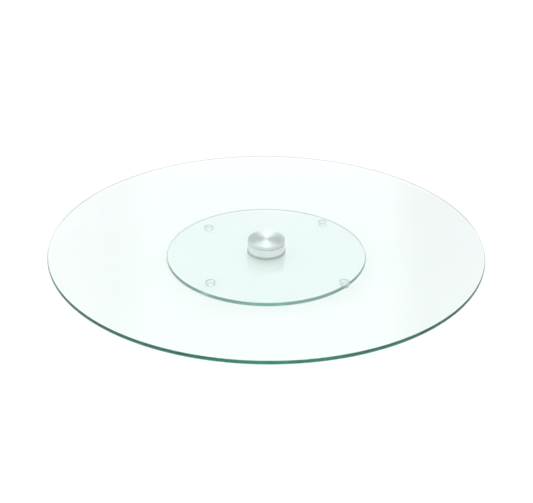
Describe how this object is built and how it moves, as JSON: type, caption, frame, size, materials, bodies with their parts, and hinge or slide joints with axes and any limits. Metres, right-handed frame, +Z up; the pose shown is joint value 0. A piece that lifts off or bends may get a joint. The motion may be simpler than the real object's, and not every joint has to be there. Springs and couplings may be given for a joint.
{
  "type": "glass turntable display stand",
  "caption": "Large round clear glass plate that turns on a small aluminium ball-bearing hub above a smaller round glass base with clear bumper feet.",
  "frame": {"origin": "on the turning axis, at the level of the surface that the feet stand on", "axes": "+Z up along the turning axis; -Y towards the front, where the viewer stands; +X to the viewer's right"},
  "size_m": [0.6, 0.6, 0.0352],
  "materials": {
    "top_glass": "clear tempered float glass with a faint green body tint, polished rim",
    "base_glass": "clear tempered float glass with a faint green body tint, polished rim",
    "bond": "clear cured bonding film",
    "cap_aluminium": "fine lathe-turned rings on the face, bright side",
    "body_aluminium": "bright satin turned aluminium, with a dull grey flange round its foot",
    "spindle_steel": "ground steel",
    "race_steel": "ground bearing steel",
    "ball_steel": "polished bearing steel",
    "spring_steel": "black phosphated spring steel",
    "nylon": "natural nylon",
    "bush_bronze": "plain sintered bronze",
    "clear_bumper": "clear soft polyurethane",
    "adhesive_tape": "clear acrylic adhesive"
  },
  "bodies": {
    "base": {"hub_body": "body_aluminium", "lower_race": "race_steel", "spindle_bush": "bush_bronze", "base_bond": "bond", "base_glass": "base_glass", "foot_front_left": "clear_bumper", "foot_front_right": "clear_bumper", "foot_back_left": "clear_bumper", "foot_back_right": "clear_bumper", "foot_tape_front_left": "adhesive_tape", "foot_tape_front_right": "adhesive_tape", "foot_tape_back_left": "adhesive_tape", "foot_tape_back_right": "adhesive_tape"},
    "turntable": {"top_glass": "top_glass", "top_bond": "bond", "hub_cap": "cap_aluminium", "spindle": "spindle_steel", "upper_race": "race_steel", "sliding_washer": "nylon", "retaining_ring": "spring_steel"},
    "ball_carrier": {"ball_cage": "nylon", "bearing_ball_01": "ball_steel", "bearing_ball_02": "ball_steel", "bearing_ball_03": "ball_steel", "bearing_ball_04": "ball_steel", "bearing_ball_05": "ball_steel", "bearing_ball_06": "ball_steel", "bearing_ball_07": "ball_steel", "bearing_ball_08": "ball_steel", "bearing_ball_09": "ball_steel", "bearing_ball_10": "ball_steel", "bearing_ball_11": "ball_steel", "bearing_ball_12": "ball_steel"}
  },
  "joints": [
    {"name": "turntable_spin", "type": "hinge", "parent": "base", "child": "turntable", "pos_m": [0, 0, 0.0248], "axis": [0, 0, 1], "continuous": true},
    {"name": "ball_carrier_orbit", "type": "hinge", "parent": "base", "child": "ball_carrier", "pos_m": [0, 0, 0.0209], "axis": [0, 0, 1], "continuous": true}
  ],
  "couplings": [
    {"joint": "ball_carrier_orbit", "follows": "turntable_spin", "ratio": 0.5}
  ]
}
